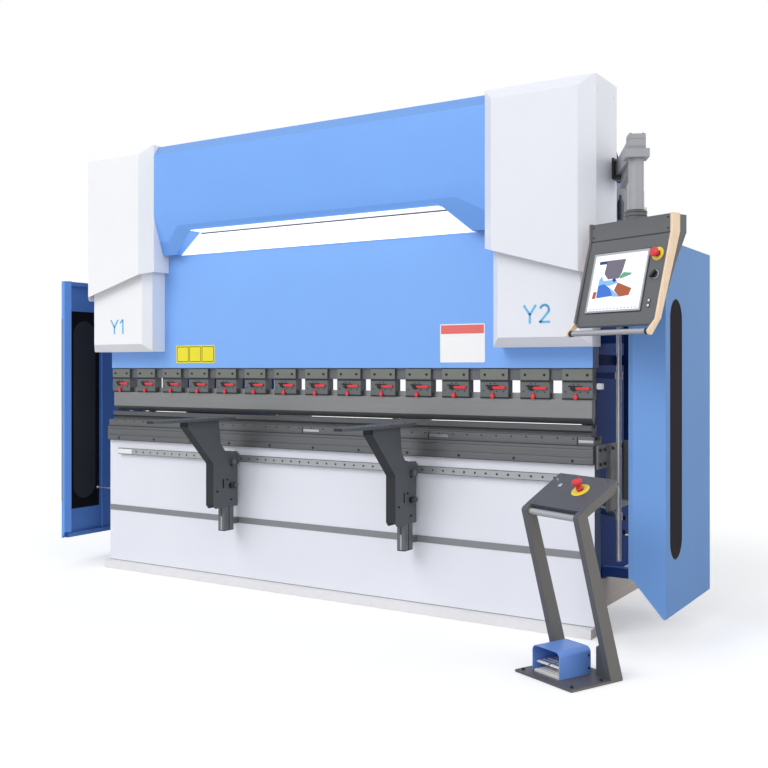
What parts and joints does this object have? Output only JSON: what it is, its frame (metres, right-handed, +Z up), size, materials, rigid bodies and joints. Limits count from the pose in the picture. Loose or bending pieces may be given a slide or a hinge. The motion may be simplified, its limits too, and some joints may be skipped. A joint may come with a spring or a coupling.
{
  "type": "electrohydraulic press brake",
  "caption": "Press brake with a hydraulic ram over a long bed, quick tool clamps, side guards, swing-arm pendant, sheet support arms, back gauge and a foot console.",
  "frame": {"origin": "on the floor under the bending plane, at mid-length, on the underside of the base flange", "axes": "+X along the bend line to the right as the operator sees it, +Y to the back, +Z up"},
  "size_m": [4.0693, 2.1507, 2.582],
  "materials": {
    "blue_paint": "smooth powder coat",
    "shade_blue_paint": "smooth powder coat",
    "white_paint": "fine textured powder coat",
    "light_grey_paint": "satin paint",
    "table_steel": "ground and oiled",
    "dark_steel": "blackened",
    "ground_steel": "ground",
    "guide_brass": "machined",
    "red_plastic": "moulded",
    "smoked_acrylic": "smoked, glossy",
    "grey_casting": "painted casting",
    "dark_grey_paint": "fine textured powder coat",
    "black_plastic": "moulded",
    "beech_wood": "lacquered beech",
    "screen_bezel": "moulded bezel with a glass screen",
    "chrome_tube": "polished"
  },
  "bodies": {
    "frame": {"side_frame_left": "blue_paint", "side_frame_right": "blue_paint", "bed_beam": "blue_paint", "front_hood": "blue_paint", "pedal_hood": "blue_paint", "cross_members": "shade_blue_paint", "cylinders": "shade_blue_paint", "guard_arms": "shade_blue_paint", "base_frame": "white_paint", "bed_apron": "white_paint", "upper_cover_left": "white_paint", "upper_cover_right": "white_paint", "light_panel": "white_paint", "cabinet_box": "white_paint", "guide_strip": "light_grey_paint", "oil_tank": "light_grey_paint", "linear_scales": "light_grey_paint", "crowning_table": "table_steel", "die_block": "table_steel", "die_rail": "dark_steel", "pump_unit": "dark_steel", "front_rail": "ground_steel", "hydraulic_pipes": "ground_steel", "guard_posts": "ground_steel", "gauge_rails": "ground_steel", "ram_guides": "guide_brass", "console_stand": "dark_grey_paint", "console_panel": "dark_grey_paint", "pendant_bracket": "black_plastic", "console_bar": "chrome_tube"},
    "ram": {"ram_beam": "blue_paint", "clamp_bar": "dark_steel", "tool_clamps": "dark_steel", "clamp_levers": "red_plastic", "punch": "table_steel", "piston_rods": "ground_steel", "scale_heads": "dark_steel", "lower_cover_left": "white_paint", "lower_cover_right": "white_paint"},
    "guard_left": {"guard_left": "blue_paint", "guard_window_left": "smoked_acrylic"},
    "guard_right": {"guard_right": "blue_paint", "guard_window_right": "smoked_acrylic"},
    "cabinet_door": {"cabinet_door": "white_paint"},
    "gauge_beam": {"gauge_beam": "shade_blue_paint"},
    "gauge_finger_left": {"gauge_finger_left": "table_steel"},
    "gauge_finger_right": {"gauge_finger_right": "table_steel"},
    "support_carriage_left": {"support_carriage_left": "grey_casting"},
    "support_carriage_right": {"support_carriage_right": "grey_casting"},
    "support_arm_left": {"support_arm_left": "dark_grey_paint"},
    "support_arm_right": {"support_arm_right": "dark_grey_paint"},
    "pendant_arm": {"pendant_arm": "grey_casting"},
    "pendant_head": {"control_housing": "dark_grey_paint", "control_cheeks": "beech_wood", "control_screen": "screen_bezel"},
    "control_stop": {"control_stop": "red_plastic"},
    "control_selector": {"control_selector": "black_plastic"},
    "console_stop": {"console_stop": "red_plastic"},
    "pedal_left": {"pedal_left": "ground_steel"},
    "pedal_right": {"pedal_right": "ground_steel"}
  },
  "joints": [
    {"name": "ram_stroke", "type": "slide", "parent": "frame", "child": "ram", "axis": [0, 0, 1], "range_m": [-0.012, 0.17]},
    {"name": "guard_left_swing", "type": "hinge", "parent": "frame", "child": "guard_left", "pos_m": [-1.941, 0.597, 0.2], "axis": [0, 0, -1], "range_deg": [0, 90]},
    {"name": "guard_right_swing", "type": "hinge", "parent": "frame", "child": "guard_right", "pos_m": [1.941, 0.597, 0.2], "axis": [0, 0, 1], "range_deg": [0, 90]},
    {"name": "cabinet_door_swing", "type": "hinge", "parent": "frame", "child": "cabinet_door", "pos_m": [1.661, 0.516, 1.6], "axis": [0, 0, -1], "range_deg": [0, 110]},
    {"name": "gauge_depth", "type": "slide", "parent": "frame", "child": "gauge_beam", "axis": [0, 1, 0], "range_m": [-0.05, 0.35]},
    {"name": "gauge_finger_left_shift", "type": "slide", "parent": "gauge_beam", "child": "gauge_finger_left", "axis": [1, 0, 0], "range_m": [-0.3, 0.3]},
    {"name": "gauge_finger_right_shift", "type": "slide", "parent": "gauge_beam", "child": "gauge_finger_right", "axis": [1, 0, 0], "range_m": [-0.3, 0.3]},
    {"name": "support_left_shift", "type": "slide", "parent": "frame", "child": "support_carriage_left", "axis": [1, 0, 0], "range_m": [-0.9, 1]},
    {"name": "support_right_shift", "type": "slide", "parent": "frame", "child": "support_carriage_right", "axis": [1, 0, 0], "range_m": [-1, 0.85]},
    {"name": "support_left_height", "type": "slide", "parent": "support_carriage_left", "child": "support_arm_left", "axis": [0, 0, 1], "range_m": [-0.06, 0.03]},
    {"name": "support_right_height", "type": "slide", "parent": "support_carriage_right", "child": "support_arm_right", "axis": [0, 0, 1], "range_m": [-0.06, 0.03]},
    {"name": "pendant_arm_swing", "type": "hinge", "parent": "frame", "child": "pendant_arm", "pos_m": [1.695, 0.075, 2.19], "axis": [0, 0, 1], "range_deg": [-4, 8]},
    {"name": "pendant_head_swivel", "type": "hinge", "parent": "pendant_arm", "child": "pendant_head", "pos_m": [1.872, -0.274, 2], "axis": [0, 0, 1], "range_deg": [-8, 18]},
    {"name": "control_stop_press", "type": "slide", "parent": "pendant_head", "child": "control_stop", "axis": [0.3864, 0.8886, -0.2473], "range_m": [0, 0.005], "stiffness_N_per_m": 800},
    {"name": "control_selector_turn", "type": "hinge", "parent": "pendant_head", "child": "control_selector", "pos_m": [2.00779, -0.44322, 1.63526], "axis": [0.3864, 0.8886, -0.2473], "range_deg": [-45, 45]},
    {"name": "console_stop_press", "type": "slide", "parent": "frame", "child": "console_stop", "axis": [0.2134, 0.4682, -0.8575], "range_m": [0, 0.005], "stiffness_N_per_m": 800},
    {"name": "pedal_left_press", "type": "hinge", "parent": "frame", "child": "pedal_left", "pos_m": [1.70884, -0.59224, 0.042], "axis": [0.91, -0.4147, 0], "range_deg": [0, 10], "stiffness_Nm_per_rad": 12, "springref_deg": -5.73},
    {"name": "pedal_right_press", "type": "hinge", "parent": "frame", "child": "pedal_right", "pos_m": [1.70884, -0.59224, 0.042], "axis": [0.91, -0.4147, 0], "range_deg": [0, 10], "stiffness_Nm_per_rad": 12, "springref_deg": -5.73}
  ]
}
